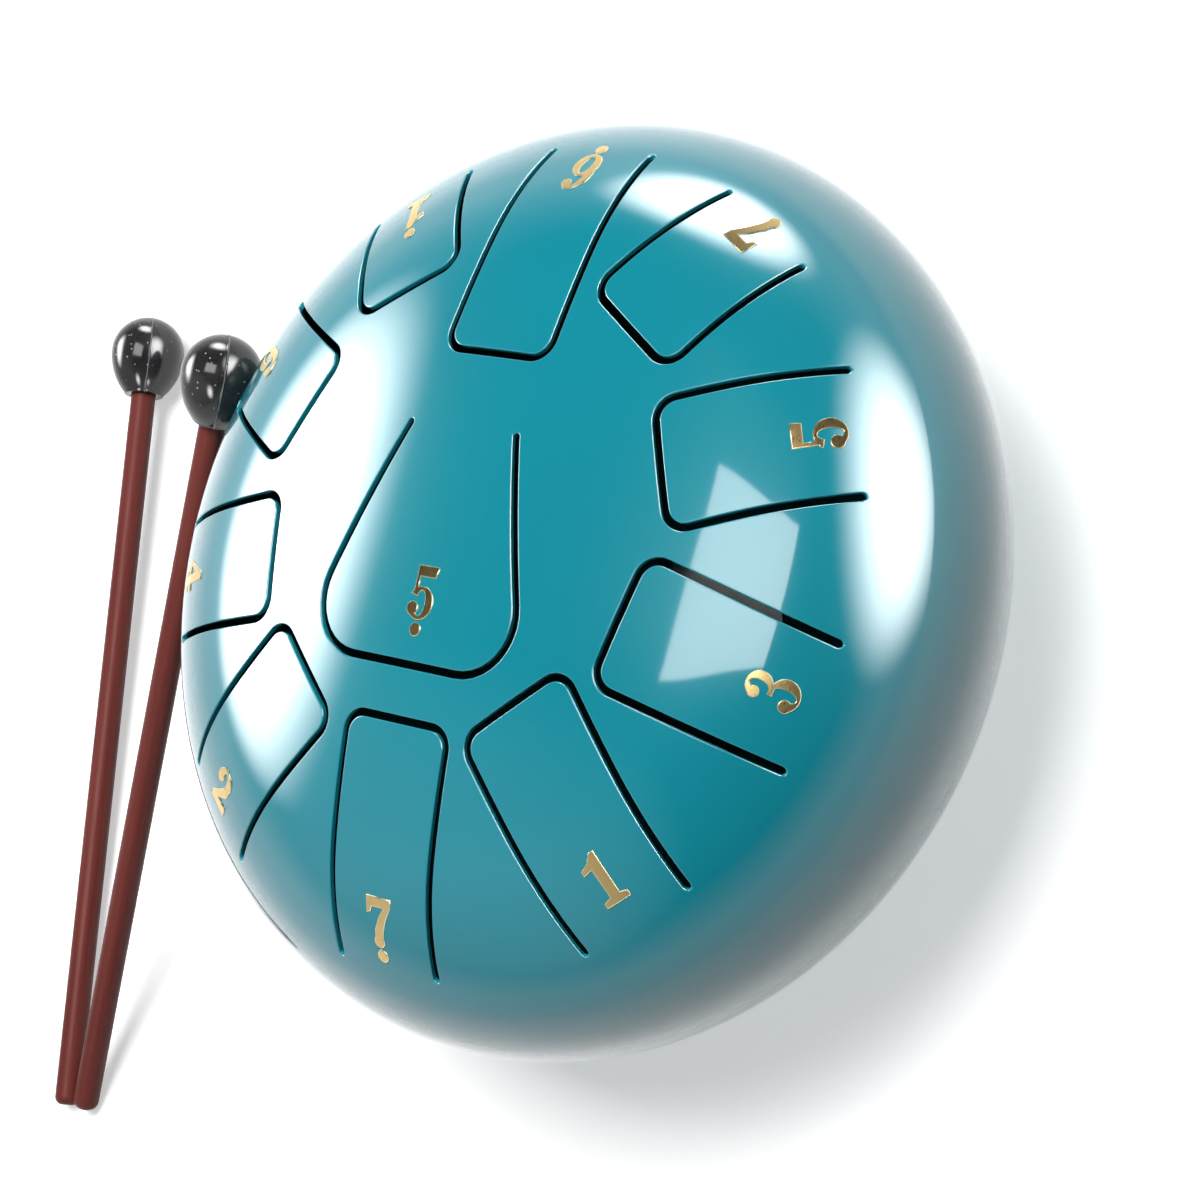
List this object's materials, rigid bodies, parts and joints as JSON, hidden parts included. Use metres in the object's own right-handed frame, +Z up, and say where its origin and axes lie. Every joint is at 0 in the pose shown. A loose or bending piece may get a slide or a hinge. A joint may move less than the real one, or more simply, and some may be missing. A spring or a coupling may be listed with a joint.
{
  "type": "steel tongue drum",
  "caption": "Round steel drum of two pressed shells with tuned tongues cut in the upper one, foil numbers, rubber feet and a pair of rubber-headed mallets.",
  "frame": {"origin": "centre of the sound hole, on the flat underside of the lower shell", "axes": "+Z up along the drum's axis, +Y towards the longest ring tongue and -Y towards the one opposite it; the mallets lie on the -X side"},
  "size_m": [0.3868, 0.3129, 0.1278],
  "materials": {
    "enamel": "glossy teal enamel",
    "gold_foil": "mirror gold foil",
    "foot_rubber": "matt black",
    "mallet_stick": "red-brown lacquer",
    "mallet_head": "glossy black"
  },
  "bodies": {
    "drum": {"top_shell": "enamel", "bottom_shell": "enamel", "foot_1": "foot_rubber", "foot_2": "foot_rubber", "foot_3": "foot_rubber"},
    "note_low_5": {"tongue_low_5": "enamel", "number_low_5": "gold_foil"},
    "note_low_6": {"tongue_low_6": "enamel", "number_low_6": "gold_foil"},
    "note_low_7": {"tongue_low_7": "enamel", "number_low_7": "gold_foil"},
    "note_1": {"tongue_1": "enamel", "number_1": "gold_foil"},
    "note_2": {"tongue_2": "enamel", "number_2": "gold_foil"},
    "note_3": {"tongue_3": "enamel", "number_3": "gold_foil"},
    "note_4": {"tongue_4": "enamel", "number_4": "gold_foil"},
    "note_5": {"tongue_5": "enamel", "number_5": "gold_foil"},
    "note_6": {"tongue_6": "enamel", "number_6": "gold_foil"},
    "note_7": {"tongue_7": "enamel", "number_7": "gold_foil"},
    "note_high_1": {"tongue_high_1": "enamel", "number_high_1": "gold_foil"},
    "left_mallet": {"left_mallet_stick": "mallet_stick", "left_mallet_head": "mallet_head"},
    "right_mallet": {"right_mallet_stick": "mallet_stick", "right_mallet_head": "mallet_head"}
  },
  "joints": [
    {"name": "note_low_5_flex", "type": "hinge", "parent": "drum", "child": "note_low_5", "pos_m": [-0.002, 0.0283, 0.12164], "axis": [-1, 0, 0], "range_deg": [-0.25, 0.25], "stiffness_Nm_per_rad": 20},
    {"name": "note_low_6_flex", "type": "hinge", "parent": "drum", "child": "note_low_6", "pos_m": [0, 0.11, 0.09836], "axis": [-1, 0, 0], "range_deg": [-0.25, 0.25], "stiffness_Nm_per_rad": 20},
    {"name": "note_low_7_flex", "type": "hinge", "parent": "drum", "child": "note_low_7", "pos_m": [0, -0.11, 0.09836], "axis": [1, 0, 0], "range_deg": [-0.25, 0.25], "stiffness_Nm_per_rad": 20},
    {"name": "note_1_flex", "type": "hinge", "parent": "drum", "child": "note_1", "pos_m": [0.07289, -0.08238, 0.09836], "axis": [0.749, 0.6626, 0], "range_deg": [-0.25, 0.25], "stiffness_Nm_per_rad": 20},
    {"name": "note_2_flex", "type": "hinge", "parent": "drum", "child": "note_2", "pos_m": [-0.07289, -0.08238, 0.09836], "axis": [0.749, -0.6626, 0], "range_deg": [-0.25, 0.25], "stiffness_Nm_per_rad": 20},
    {"name": "note_3_flex", "type": "hinge", "parent": "drum", "child": "note_3", "pos_m": [0.1076, -0.02287, 0.09836], "axis": [0.2079, 0.9781, 0], "range_deg": [-0.25, 0.25], "stiffness_Nm_per_rad": 20},
    {"name": "note_4_flex", "type": "hinge", "parent": "drum", "child": "note_4", "pos_m": [-0.1076, -0.02287, 0.09836], "axis": [0.2079, -0.9781, 0], "range_deg": [-0.25, 0.25], "stiffness_Nm_per_rad": 20},
    {"name": "note_5_flex", "type": "hinge", "parent": "drum", "child": "note_5", "pos_m": [0.10049, 0.04474, 0.09836], "axis": [-0.4067, 0.9135, 0], "range_deg": [-0.25, 0.25], "stiffness_Nm_per_rad": 20},
    {"name": "note_6_flex", "type": "hinge", "parent": "drum", "child": "note_6", "pos_m": [-0.10049, 0.04474, 0.09836], "axis": [-0.4067, -0.9135, 0], "range_deg": [-0.25, 0.25], "stiffness_Nm_per_rad": 20},
    {"name": "note_7_flex", "type": "hinge", "parent": "drum", "child": "note_7", "pos_m": [0.05829, 0.09329, 0.09836], "axis": [-0.848, 0.5299, 0], "range_deg": [-0.25, 0.25], "stiffness_Nm_per_rad": 20},
    {"name": "note_high_1_flex", "type": "hinge", "parent": "drum", "child": "note_high_1", "pos_m": [-0.05829, 0.09329, 0.09836], "axis": [-0.848, -0.5299, 0], "range_deg": [-0.25, 0.25], "stiffness_Nm_per_rad": 20},
    {"name": "left_mallet_lift", "type": "slide", "parent": "drum", "child": "left_mallet", "axis": [0, 0, 1], "range_m": [0, 0.3]},
    {"name": "right_mallet_lift", "type": "slide", "parent": "drum", "child": "right_mallet", "axis": [0, 0, 1], "range_m": [0, 0.3]}
  ]
}
